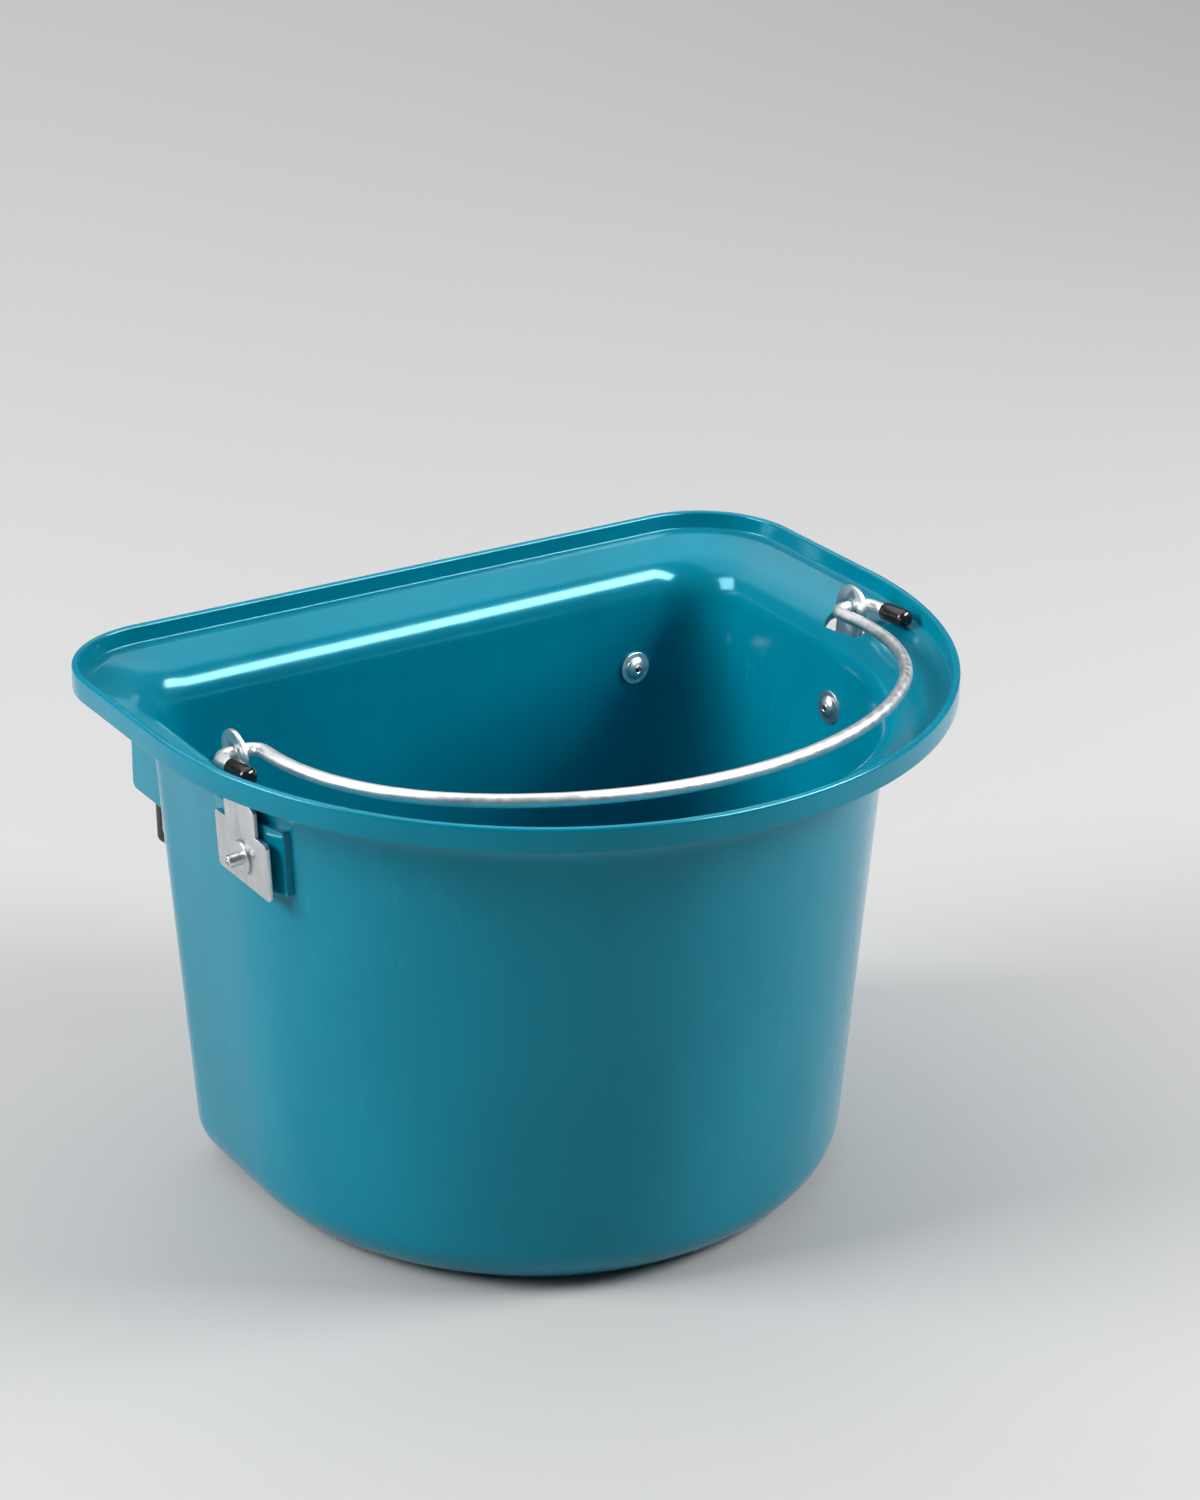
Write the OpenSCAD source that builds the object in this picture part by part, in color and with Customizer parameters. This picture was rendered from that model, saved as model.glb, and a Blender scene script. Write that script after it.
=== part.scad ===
// Horse feed bucket: rounded front, flat back, folding bail and two rear hanging hooks.
// +Z is up, the round side faces -Y, the flat back faces +Y, +X is to the right seen from the front.
// The origin is at the centre of the base, on the surface that the bucket stands on.

/* [Bucket] */
// Width over the rim
rim_w = 380; // [330:1:440]
// Depth over the rim, front to back
rim_d = 307; // [280:1:350]
// Height from the base to the top of the rim
bucket_h = 248; // [215:1:290]
// Thickness of the moulded wall
wall = 3; // [2.4:0.1:3.6]
// Outer radius of the two rear corners of the rim
rim_corner_r = 48; // [42:1:56]
// Radius of the two rear corners of the wall
wall_corner_r = 31; // [26:1:36]
// Radius between the wall and the base
base_round = 23; // [14:1:28]
// Draft of the front and side wall, in degrees
side_draft = 3.5; // [2:0.1:4]
// Draft of the back wall, in degrees
back_draft = 3.1; // [2:0.1:4]

/* [Rim] */
// Height of the outer band of the rim
band_h = 11; // [8:0.5:14]
// Thickness of the raised lip
lip_t = 3.4; // [2.6:0.1:4.2]
// Depth of the ledge's outer edge below the top of the lip
lip_drop = 8.5; // [6:0.5:10]
// Distance from the rim to the side wall, outside faces
ledge_side = 30; // [26:0.5:36]
// Distance from the rim to the back wall, outside faces
ledge_back = 25.4; // [23:0.2:32]
// Fall of the ledge from its outer edge to the bend
ledge_drop = 6; // [4:0.5:8]
// Width of the nearly level strip along the foot of the lip
strip_w = 5; // [3:0.5:7]
// Radius of the bend from the ledge into the wall
bend_r = 20; // [17:0.5:22]

/* [Bail] */
// Diameter of the bail's steel rod
rod_d = 6; // [5:0.5:7]
// Reach of the bail from its hinge line to its crown
bail_reach = 144; // [120:1:152]
// Height of the hinge line below the top of the rim
hinge_below_rim = 6.2; // [5:0.2:9]
// Distance of the hinge line in front of the centre of the round front
hinge_front = 20.5; // [14:0.5:26]
// Angle at which the folded bail rises towards the front, in degrees
bail_rise = 3.5; // [3:0.1:8]
// Radius of the bail's tight bends
rod_bend_r = 6.5; // [6:0.5:9]
// Diameter of the plastic end caps
cap_d = 8.6; // [7.6:0.1:9.4]
// Length of the plastic end caps
cap_len = 17; // [13:0.5:18]

/* [Ear plates] */
// Thickness of the ear plates
ear_t = 2; // [1.5:0.1:2.5]
// Diameter of the round head of an ear
ear_head_d = 21; // [20:0.5:25]
// Diameter of the bail's hole in an ear
ear_hole_d = 8.4; // [7.4:0.1:9.5]
// Width of an ear's foot
ear_foot_w = 46; // [42:1:54]
// Height of an ear's foot
ear_foot_h = 27; // [24:0.5:30]
// Width of an ear's neck under the ledge
ear_neck_w = 27; // [24:0.5:28]
// Width of an ear's waist where it passes the ledge
ear_waist_w = 18; // [14:0.5:19]
// Distance of the ears' rivets below the top of the rim
ear_rivet_drop = 55.5; // [54:0.5:57]

/* [Hooks] */
// Thickness of the hooks' steel sheet
hook_t = 3; // [2.5:0.1:3.5]
// Distance of each hook from the middle of the bucket
hook_x = 113; // [106:1:116]
// Width of a hook's back plate
hook_plate_w = 60; // [50:1:62]
// Height of a hook's back plate
hook_plate_h = 64; // [56:1:68]
// Width of a hook's strap
hook_strap_w = 12; // [11:0.5:14]
// Free gap between the back plate and the sleeved leg
hook_gap = 44; // [30:1:60]
// Length of the sleeved leg below the top of the hook
hook_leg = 98; // [70:1:110]
// Inner radius of the hook's bends
hook_bend_r = 5; // [4:0.5:7]
// Distance of the hooks' rivets below the top of the rim
hook_rivet_drop = 65; // [62:0.5:70]
// Outer diameter of the sleeve on a hook's leg
sleeve_d = 15; // [14.5:0.1:17]

/* [Fasteners] */
// Diameter of the washers
washer_d = 16; // [14:0.5:18]
// Thickness of the washers
washer_t = 1.2; // [0.8:0.1:1.5]
// Diameter of the rivets' shank
rivet_d = 5.8; // [5:0.1:6.4]
// Diameter of the rivets' dome head
rivet_head_d = 11.2; // [10:0.2:12]
// Height of the rivets' dome head
rivet_head_h = 2.6; // [2:0.1:3]
// Length of the rivets' tail beyond the washer
rivet_tail = 6; // [4:0.5:7]
// Diameter of the bore through the rivets
rivet_bore_d = 3; // [2.6:0.1:3.4]

/* [Hidden] */

teal = "#0a8ba6";
zinc = "#c3c9cc";
black = "#151617";

// ---- rim, ledge and wall ----
rim_r = rim_w / 2;
arc_y = rim_r - rim_d / 2;          // centre of the round front
back_y = rim_d / 2;
band_z = bucket_h - band_h;         // lower edge of the band
crease_z = bucket_h - lip_drop;     // outer edge of the ledge
crease_in = lip_t + 0.3;            // its distance in from the rim
strip_z = crease_z - 0.6;           // inner edge of the nearly level strip
bend_sweep = 66;                    // the bend turns this far from the wall to the ledge
bend_z = crease_z - ledge_drop - bend_r * sin(bend_sweep);
band_foot = 3.2;                    // flat underside of the band
lip_round = 1.4;
seg_front = 44;
seg_corner = 9;

function side_in(z) = ledge_side + (band_z - z) * tan(side_draft);
function back_in(z) = ledge_back + (band_z - z) * tan(back_draft);

// Outline of the bucket, inset by side_e at the front and sides and by back_e at the back.
function outline(side_e, back_e, corner_r, z) =
    let (r = rim_r - side_e, b = back_y - back_e, c = max(corner_r, 2))
    concat(
        [for (i = [0:seg_front])
            let (a = 180 + 180 * i / seg_front) [r * cos(a), arc_y + r * sin(a), z]],
        [for (i = [0:seg_corner])
            let (a = 90 * i / seg_corner) [r - c + c * cos(a), b - c + c * sin(a), z]],
        [for (i = [0:seg_corner])
            let (a = 90 + 90 * i / seg_corner) [c - r + c * cos(a), b - c + c * sin(a), z]]
    );

function rim_ring(e, z) = outline(e, e, rim_corner_r - e, z);
function wall_ring(e, z) = outline(side_in(z) + e, back_in(z) + e, wall_corner_r - e, z);

// Rings from the middle of the underside, up the outside, over the lip and down the inside.
function shell_rings() = concat(
    [for (a = [90:-15:0]) wall_ring(base_round * (1 - cos(a)), base_round * (1 - sin(a)))],
    [for (a = [0:11:bend_sweep])
        wall_ring(-(bend_r - wall) * (1 - cos(a)), bend_z + (bend_r - wall) * sin(a))],
    [rim_ring(band_foot, band_z), rim_ring(0.5, band_z), rim_ring(0, band_z + 0.5)],
    [for (a = [0:45:90])
        rim_ring(lip_round * (1 - cos(a)), bucket_h - lip_round * (1 - sin(a)))],
    [for (a = [90:-45:0])
        rim_ring(lip_t - lip_round * (1 - cos(a)), bucket_h - lip_round * (1 - sin(a)))],
    [rim_ring(crease_in, crease_z), rim_ring(crease_in + strip_w, strip_z)],
    [for (a = [bend_sweep:-11:0])
        wall_ring(wall - bend_r * (1 - cos(a)), bend_z + bend_r * sin(a))],
    [for (a = [0:15:90])
        let (r = base_round - wall) wall_ring(wall + r * (1 - cos(a)), wall + r * (1 - sin(a)))]
);

module skin(rings) {
    n = len(rings[0]);
    m = len(rings);
    polyhedron(
        points = [for (ring = rings) each ring],
        faces = concat(
            [[for (i = [0:n - 1]) i]],
            [for (k = [0:m - 2], i = [0:n - 1])
                [k * n + i, (k + 1) * n + i, (k + 1) * n + (i + 1) % n, k * n + (i + 1) % n]],
            [[for (i = [n - 1:-1:0]) (m - 1) * n + i]]
        ),
        convexity = 8
    );
}

// ---- places on the walls ----
ear_y = arc_y - hinge_front;
hinge_z = bucket_h - hinge_below_rim;
ear_rivet_z = bucket_h - ear_rivet_drop;
hook_rivet_z = bucket_h - hook_rivet_drop;
pad_proud = 1.2;                    // the moulded pads of the hooks stand this far off the wall
ear_r = rim_r - side_in(ear_rivet_z);               // radius of the wall at the ears' rivets
ear_x = sqrt(ear_r * ear_r - hinge_front * hinge_front);
ear_pad = ear_r + 1.2 - ear_x;                      // height of an ear's pad over the wall at its rivet

// Local frame of an ear: origin on the outside of the side wall at the rivet, X outwards, Z up the wall.
module on_ear(side) {
    mirror([side < 0 ? 1 : 0, 0, 0])
        translate([ear_x, ear_y, ear_rivet_z])
            rotate([0, side_draft, 0])
                children();
}

// Local frame of a hook: origin on the outside of the back wall at the rivet, Y outwards, Z up the wall.
module on_hook(side) {
    mirror([side < 0 ? 1 : 0, 0, 0])
        translate([hook_x, back_y - back_in(hook_rivet_z), hook_rivet_z])
            rotate([-back_draft, 0, 0])
                children();
}

// Fasteners are drawn along +X, so a hook turns them to point along its Y.
module along_y() {
    rotate([0, 0, 90]) children();
}

function arc(cx, cy, r, a0, a1, n) =
    [for (i = [0:n]) let (a = a0 + (a1 - a0) * i / n) [cx + r * cos(a), cy + r * sin(a)]];

function round_box(x0, y0, x1, y1, r) = concat(
    arc(x1 - r, y0 + r, r, -90, 0, 5), arc(x1 - r, y1 - r, r, 0, 90, 5),
    arc(x0 + r, y1 - r, r, 90, 180, 5), arc(x0 + r, y0 + r, r, 180, 270, 5)
);

// ---- ear plates ----
ear_up = (hinge_z - ear_rivet_z) / cos(side_draft);     // from the rivet to the hole, up the plate
hole_x = ear_x + ear_pad * cos(side_draft) + ear_up * sin(side_draft);  // inner face of the plate there
foot_top = 14.5;                    // top of the foot above the rivet
foot_bottom = foot_top - ear_foot_h;
foot_r = 2;
neck_top = 26;                      // the neck narrows from here, under the ledge
waist_z = neck_top + 3;
slot_back = 4.3;                    // the slot's middle lies this far behind the ear's
slot_w = 7;
slot_len = 28.5;
pad_bottom = foot_bottom + 2;
pad_top = foot_top + 5.5;
pad_half = ear_foot_w / 2 + 3;

function ear_half() = let (r = ear_head_d / 2) concat(
    arc(ear_foot_w / 2 - foot_r, foot_bottom + foot_r, foot_r, -90, 0, 5),
    arc(ear_foot_w / 2 - foot_r, foot_top - foot_r, foot_r, 0, 90, 5),
    [[ear_neck_w / 2, foot_top], [ear_neck_w / 2, neck_top], [ear_waist_w / 2, waist_z]],
    arc(0, ear_up, r, -acos(ear_waist_w / ear_head_d), 90, 16)
);

module ear_plate(side) {
    half = ear_half();
    n = len(half);
    color(zinc)
        difference() {
            on_ear(side)
                translate([ear_pad, 0, 0])
                    rotate([90, 0, 90])
                        linear_extrude(ear_t)
                            polygon(concat(half, [for (i = [n - 1:-1:0]) [-half[i][0], half[i][1]]]));
            on_ear(side)
                rotate([0, 90, 0])
                    cylinder(d = rivet_d + rivet_play, h = 2 * ear_stack, $fn = 48);
            translate([side * hole_x, ear_y, hinge_z])
                rotate([0, 90, 0])
                    cylinder(d = ear_hole_d, h = 30, center = true, $fn = 64);
        }
}

// ---- fasteners, along +X from the outside face of the wall ----
ear_stack = ear_pad + ear_t;        // outside face of the plate, from the wall
hook_stack = pad_proud + hook_t;
rivet_play = 0.2;                   // drilled holes are this much wider than the rivets
mandrel_d = rivet_bore_d - 0.8;
mandrel_head_d = rivet_bore_d;

module washer_at(x) {
    color(zinc)
        translate([x, 0, 0])
            rotate([0, 90, 0])
                difference() {
                    cylinder(d = washer_d, h = washer_t, $fn = 64);
                    translate([0, 0, -1])
                        cylinder(d = rivet_d, h = washer_t + 2, $fn = 48);
                }
}

module rivet(stack) {
    inner = -wall - washer_t;
    tail_end = stack + washer_t + rivet_tail;
    color(zinc)
        translate([inner, 0, 0])
            rotate([0, 90, 0])
                rotate_extrude($fn = 64)
                    polygon(concat(
                        [[rivet_bore_d / 2, -rivet_head_h]],
                        [for (a = [72:-12:0])
                            [rivet_head_d / 2 * cos(a), -rivet_head_h * sin(a) * 0.98]],
                        [[rivet_d / 2, 0], [rivet_d / 2, tail_end - inner - 0.5],
                         [rivet_d / 2 - 0.5, tail_end - inner], [rivet_bore_d / 2, tail_end - inner]]
                    ));
}

module mandrel(stack) {
    start = -wall;
    end = stack + washer_t + rivet_tail - 1.6;
    color("#6d7275")
        translate([start, 0, 0])
            rotate([0, 90, 0])
                rotate_extrude($fn = 48)
                    polygon([[0, 0], [mandrel_d / 2, 0], [mandrel_d / 2, end - start - 3],
                             [mandrel_head_d / 2, end - start - 2.2], [mandrel_head_d / 2, end - start],
                             [0, end - start]]);
}

// ---- hooks ----
plate_half = hook_plate_w / 2;
plate_up = hook_plate_h / 2;
plate_r = 5;
hook_top = bend_z + 11 - hook_rivet_z;               // top of the hook above the rivet, under the ledge
leg_in = hook_stack + hook_gap + (sleeve_d - hook_t) / 2;
leg_out = leg_in + hook_t;
leg_bottom = hook_top - hook_leg;
sleeve_floor = 2.4;
sleeve_top = hook_top - 15;

function hook_profile() = let (ri = hook_bend_r, ro = hook_bend_r + hook_t) concat(
    [[pad_proud, 0]],
    arc(hook_stack + ri, hook_top - ro, ro, 180, 90, 8),
    arc(leg_in - ri, hook_top - ro, ro, 90, 0, 8),
    [[leg_out, leg_bottom], [leg_in, leg_bottom]],
    arc(leg_in - ri, hook_top - ro, ri, 0, 90, 8),
    arc(hook_stack + ri, hook_top - ro, ri, 90, 180, 8),
    [[hook_stack, 0]]
);

module hook(side) {
    color(zinc)
        on_hook(side)
            difference() {
                union() {
                    translate([0, hook_stack, 0])
                        rotate([90, 0, 0])
                            linear_extrude(hook_t)
                                polygon(round_box(-plate_half, -plate_up, plate_half, plate_up, plate_r));
                    translate([-hook_strap_w / 2, 0, 0])
                        rotate([90, 0, 90])
                            linear_extrude(hook_strap_w)
                                polygon(hook_profile());
                }
                rotate([-90, 0, 0])
                    cylinder(d = rivet_d + rivet_play, h = 12, $fn = 48);
            }
}

module hook_sleeve(side) {
    mid = (leg_in + leg_out) / 2;
    color(black)
        on_hook(side)
            translate([0, mid, 0])
                difference() {
                    union() {
                        translate([0, 0, leg_bottom - sleeve_floor + 3])
                            cylinder(d = sleeve_d, h = sleeve_top - leg_bottom + sleeve_floor - 3, $fn = 64);
                        translate([0, 0, leg_bottom - sleeve_floor])
                            cylinder(d1 = sleeve_d - 4, d2 = sleeve_d, h = 3, $fn = 64);
                    }
                    translate([-hook_strap_w / 2, -hook_t / 2, leg_bottom])
                        cube([hook_strap_w, hook_t, hook_leg]);
                }
}

// ---- moulded pads, spacer ribs and holes ----
rib_t = 2.5;
rib_x = hook_x + plate_half + 1 + rib_t / 2;
rib_back = back_y - 4;
rib_bottom = hook_rivet_z - 13;

// How far back the wall reaches at x, on a ring with the offset e of the wall at height z.
function corner_y(x, e, z) =
    let (r = rim_r - side_in(z) - e, c = wall_corner_r - e)
    back_y - back_in(z) - e - c + sqrt(c * c - pow(max(x - r + c, 0), 2));

// The pad behind an ear, from the middle of the curved wall out: flat, and cut back round the front.
module ear_pad_block(side) {
    on_ear(side)
        translate([0, 0, pad_bottom])
            linear_extrude(pad_top - pad_bottom)
                difference() {
                    intersection() {
                        translate([-20, -pad_half])
                            square([20 + ear_pad, 2 * pad_half]);
                        union() {
                            translate([-ear_x, hinge_front])
                                circle(r = ear_r + 3, $fn = 180);
                            translate([-20, hinge_front])
                                square(40);
                        }
                    }
                    translate([-ear_x, hinge_front])
                        circle(r = ear_r - wall / 2, $fn = 180);
                    translate([ear_r - ear_x - wall / 2 - 40, hinge_front])
                        square([40, 60]);
                }
}

module hook_pad(side) {
    corner_x = rim_r - side_in(hook_rivet_z) - wall_corner_r - hook_x;
    inner_r = wall_corner_r - wall / 2;
    on_hook(side)
        translate([0, 0, -plate_up - 1])
            linear_extrude(2 * plate_up + 2)
                difference() {
                    translate([-plate_half - 1, -12])
                        square([2 * plate_half + 2, 12 + pad_proud]);
                    translate([-plate_half - 30, -40 - wall / 2])
                        square([corner_x + plate_half + 30, 40]);
                    translate([corner_x, -wall_corner_r])
                        circle(r = inner_r, $fn = 96);
                }
}

// A rib starts in the middle of the wall's thickness and follows its bend up into the ledge.
module spacer_rib(side) {
    mid_r = bend_r - wall / 2;
    translate([side * rib_x - rib_t / 2, 0, 0])
        rotate([90, 0, 90])
            linear_extrude(rib_t)
                polygon(concat(
                    [[corner_y(rib_x, wall / 2, rib_bottom), rib_bottom]],
                    [for (a = [0:11:bend_sweep])
                        let (e = wall / 2 - mid_r * (1 - cos(a)), z = bend_z + mid_r * sin(a))
                            [corner_y(rib_x, e, z), z]],
                    [[rib_back, band_z + 0.6]],
                    arc(rib_back - 3, rib_bottom + 3, 3, 0, -90, 4)
                ));
}

module ear_slot(side) {
    on_ear(side)
        translate([ear_pad - 0.7, slot_back, waist_z - 2])
            linear_extrude(40)
                polygon(round_box(0, -slot_len / 2, slot_w, slot_len / 2, 2.5));
}

// Flat seat for the washer inside the curved wall.
module washer_seat(side) {
    on_ear(side)
        translate([-wall - 5, 0, 0])
            rotate([0, 90, 0])
                cylinder(d = washer_d + 1, h = 5, $fn = 64);
}

module rivet_hole() {
    translate([-2 * wall, 0, 0])
        rotate([0, 90, 0])
            cylinder(d = rivet_d + rivet_play, h = 4 * wall, $fn = 48);
}

module bucket_shell() {
    color(teal)
        difference() {
            union() {
                skin(shell_rings());
                for (side = [-1, 1]) {
                    ear_pad_block(side);
                    hook_pad(side);
                    spacer_rib(side);
                }
            }
            for (side = [-1, 1]) {
                ear_slot(side);
                washer_seat(side);
                on_ear(side) rivet_hole();
                on_hook(side) along_y() rivet_hole();
            }
        }
}

// ---- bail ----
turn_in = hole_x - 3;               // the rod runs straight through the ear from here
arm_x = turn_in - rod_bend_r;       // the bail's widest half
bail_straight = 14.7;               // the arms run straight this far from the hinge line
bow_flat = 14.3;                    // how much shorter the shoulders' radius is than the bow's depth
shoulder_r = bail_reach - bail_straight - bow_flat;
shoulder_cx = arm_x - shoulder_r;
shoulder_cy = -bail_straight;
crown_up = (shoulder_cx * shoulder_cx - bow_flat * bow_flat) / (2 * bow_flat);
crown_r = bail_reach - bail_straight + crown_up;
crown_cy = crown_up - bail_straight;
crown_a = atan2(shoulder_cx, crown_up);
tip_len = 29;                       // reach of the bent ends from the hinge line
tip_gap = 3.9;                      // clearance of the caps from the lip
tip_x = sqrt(rim_r * rim_r - pow(hinge_front + tip_len, 2)) - crease_in - cap_d / 2 - tip_gap;
turn_out = tip_x - rod_bend_r;
rod_lap = 1.2;                      // bent stretches run this far into the straight ones
cap_end = 2;                        // closed end of a cap

// Stations along the middle of the rod: place in the plane of the bend, and heading.
function turn(cx, cy, r, a0, a1, n) =
    [for (i = [0:n]) let (a = a0 + (a1 - a0) * i / n)
        [cx + r * cos(a), cy + r * sin(a), a + (a1 > a0 ? 90 : -90)]];

function rod_ring(station) = let (r = rod_d / 2 - 0.015)
    [for (a = [0:22.5:337.5]) [
        station[0] - r * cos(a) * sin(station[2]),
        station[1] + r * cos(a) * cos(station[2]),
        r * sin(a)
    ]];

module bent_rod(stations) {
    skin([for (s = stations) rod_ring(s)]);
}

module straight_rod(x0, y0, x1, y1) {
    translate([x0, y0, 0])
        rotate([0, 0, atan2(y1 - y0, x1 - x0)])
            rotate([0, 90, 0])
                cylinder(d = rod_d, h = norm([x1 - x0, y1 - y0]), $fn = 48);
}

function bow_half() = concat(
    [[turn_in + rod_lap, 0, 180]],
    turn(turn_in, -rod_bend_r, rod_bend_r, 90, 180, 6),
    turn(shoulder_cx, shoulder_cy, shoulder_r, 0, crown_a - 90, 10),
    [for (i = [1:8]) turn(0, crown_cy, crown_r, crown_a - 90, -90, 8)[i]]
);

function tip_bend() = concat(
    [[turn_out - rod_lap, 0, 0]],
    turn(turn_out, -rod_bend_r, rod_bend_r, 90, 0, 6),
    [[tip_x, -rod_bend_r - rod_lap, -90]]
);

// The folded bail's own plane: origin on the hinge line, -Y along the bail, which rises to the front.
module in_bail_plane() {
    translate([0, ear_y, hinge_z])
        rotate([-bail_rise, 0, 0])
            children();
}

module bail_handle() {
    half = bow_half();
    gap = rod_lap / 3;
    color(zinc)
        in_bail_plane()
            union() {
                bent_rod(concat(half, [for (i = [len(half) - 2:-1:0])
                    [-half[i][0], half[i][1], -half[i][2]]]));
                for (side = [0, 1])
                    mirror([side, 0, 0]) {
                        straight_rod(turn_in + gap, 0, turn_out - gap, 0);
                        bent_rod(tip_bend());
                        straight_rod(tip_x, -rod_bend_r - gap, tip_x, -tip_len);
                    }
            }
}

module end_cap(side) {
    color(black)
        in_bail_plane()
            translate([side * tip_x, cap_len - tip_len - cap_end, 0])
                rotate([90, 0, 0])
                    difference() {
                        rotate_extrude($fn = 64)
                            polygon(concat(
                                [[0, 0], [cap_d / 2, 0]],
                                [for (a = [0:15:90])
                                    [cap_d / 2 - 3 * (1 - cos(a)), cap_len - 3 * (1 - sin(a))]],
                                [[0, cap_len]]
                            ));
                        translate([0, 0, -1])
                            cylinder(d = rod_d, h = cap_len - cap_end + 1, $fn = 48);
                    }
}

bucket_shell();
bail_handle();
end_cap(-1);  // left_end_cap
end_cap(1);  // right_end_cap
ear_plate(-1);  // left_ear_plate
ear_plate(1);  // right_ear_plate
on_ear(-1) washer_at(-wall - washer_t);  // left_ear_inner_washer
on_ear(1) washer_at(-wall - washer_t);  // right_ear_inner_washer
on_ear(-1) washer_at(ear_stack);  // left_ear_outer_washer
on_ear(1) washer_at(ear_stack);  // right_ear_outer_washer
on_ear(-1) rivet(ear_stack);  // left_ear_rivet
on_ear(1) rivet(ear_stack);  // right_ear_rivet
on_ear(-1) mandrel(ear_stack);  // left_ear_rivet_mandrel
on_ear(1) mandrel(ear_stack);  // right_ear_rivet_mandrel
hook(-1);  // left_hook
hook(1);  // right_hook
hook_sleeve(-1);  // left_hook_sleeve
hook_sleeve(1);  // right_hook_sleeve
on_hook(-1) along_y() washer_at(-wall - washer_t);  // left_hook_inner_washer
on_hook(1) along_y() washer_at(-wall - washer_t);  // right_hook_inner_washer
on_hook(-1) along_y() washer_at(hook_stack);  // left_hook_outer_washer
on_hook(1) along_y() washer_at(hook_stack);  // right_hook_outer_washer
on_hook(-1) along_y() rivet(hook_stack);  // left_hook_rivet
on_hook(1) along_y() rivet(hook_stack);  // right_hook_rivet
on_hook(-1) along_y() mandrel(hook_stack);  // left_hook_rivet_mandrel
on_hook(1) along_y() mandrel(hook_stack);  // right_hook_rivet_mandrel
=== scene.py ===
from math import sin, cos, tan, asin, sqrt, radians, pi
import bpy
import bmesh
from mathutils import Matrix, Vector


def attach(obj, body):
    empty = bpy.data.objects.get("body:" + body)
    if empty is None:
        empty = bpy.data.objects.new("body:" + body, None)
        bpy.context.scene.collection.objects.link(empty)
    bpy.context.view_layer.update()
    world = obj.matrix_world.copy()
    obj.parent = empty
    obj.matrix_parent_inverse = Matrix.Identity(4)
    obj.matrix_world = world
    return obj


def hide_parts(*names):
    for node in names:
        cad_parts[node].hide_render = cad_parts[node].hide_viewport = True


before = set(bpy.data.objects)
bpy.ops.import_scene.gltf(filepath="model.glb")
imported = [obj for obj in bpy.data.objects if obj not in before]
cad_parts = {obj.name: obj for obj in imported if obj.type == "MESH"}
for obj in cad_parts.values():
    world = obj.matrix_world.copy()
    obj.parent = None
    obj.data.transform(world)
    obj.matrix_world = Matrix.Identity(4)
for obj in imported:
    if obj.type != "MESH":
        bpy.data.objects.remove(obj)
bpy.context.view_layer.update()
mm = 0.001


def deselectAll():
    for o in bpy.context.selected_objects:
        o.select_set(False)


def activate(obj):
    deselectAll()
    obj.select_set(True)
    bpy.context.view_layer.objects.active = obj


def named(name):
    obj = bpy.context.object
    obj.name = obj.data.name = name
    return obj


def pick(test):
    # selects the vertices of the mesh in edit mode that pass the test
    mesh = bpy.context.object.data
    bm = bmesh.from_edit_mesh(mesh)
    bpy.ops.mesh.select_mode(type="VERT")
    for v in bm.verts:
        v.select = bool(test(v.co))
    bm.select_flush_mode()
    bmesh.update_edit_mesh(mesh)


def toFaces():
    bpy.ops.mesh.select_all(action="SELECT")
    bpy.ops.mesh.normals_make_consistent(inside=False)


def applyModifier(obj, kind, **settings):
    activate(obj)
    mod = obj.modifiers.new(kind.lower(), kind)
    for key, value in settings.items():
        setattr(mod, key, value)
    bpy.ops.object.modifier_apply(modifier=mod.name)


def cut(obj, tool, operation="DIFFERENCE"):
    applyModifier(obj, "BOOLEAN", object=tool, operation=operation, solver="EXACT")
    bpy.data.objects.remove(tool)


def placed(obj, matrix):
    # bakes the matrix into the mesh and turns the faces outward again
    activate(obj)
    obj.matrix_world = matrix
    bpy.ops.object.transform_apply(location=True, rotation=True, scale=True)
    bpy.ops.object.mode_set(mode="EDIT")
    toFaces()
    bpy.ops.object.mode_set(mode="OBJECT")
    return obj


def smooth(obj, angle=34):
    activate(obj)
    bpy.ops.object.shade_smooth_by_angle(angle=radians(angle))
    return obj


def box(name, low, high):
    bpy.ops.mesh.primitive_cube_add(size=1, location=[(a + b) / 2 * mm for a, b in zip(low, high)])
    obj = named(name)
    obj.scale = [(b - a) * mm for a, b in zip(low, high)]
    bpy.ops.object.transform_apply(location=True, rotation=True, scale=True)
    return obj


def rod(name, radius, length, centre, turn=(0, 0, 0), vertices=64):
    bpy.ops.mesh.primitive_cylinder_add(vertices=vertices, radius=radius * mm, depth=length * mm,
                                        location=[c * mm for c in centre], rotation=turn)
    obj = named(name)
    bpy.ops.object.transform_apply(location=True, rotation=True, scale=True)
    return obj


def turnedPart(name, points, steps=56):
    # draws the half section (along X, out from X) by extruding one vertex, then spins it about X
    bpy.ops.mesh.primitive_plane_add(size=mm, location=(0, 0, 0))
    obj = named(name)
    bpy.ops.object.mode_set(mode="EDIT")
    bpy.ops.mesh.select_mode(type="VERT")
    bpy.ops.mesh.select_all(action="SELECT")
    bpy.ops.mesh.merge(type="CENTER")
    last = Vector(points[0]) * mm
    bpy.ops.transform.translate(value=(last.x, last.y, 0))
    for p in points[1:]:
        p = Vector(p) * mm
        bpy.ops.mesh.extrude_region_move(TRANSFORM_OT_translate={"value": (p.x - last.x, p.y - last.y, 0)})
        last = p
    bpy.ops.mesh.select_all(action="SELECT")
    bpy.ops.mesh.spin(steps=steps, angle=2 * pi, center=(0, 0, 0), axis=(1, 0, 0))
    bpy.ops.mesh.select_all(action="SELECT")
    bpy.ops.mesh.remove_doubles(threshold=0.01 * mm)
    bpy.ops.mesh.normals_make_consistent(inside=False)
    bpy.ops.object.mode_set(mode="OBJECT")
    return obj


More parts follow.
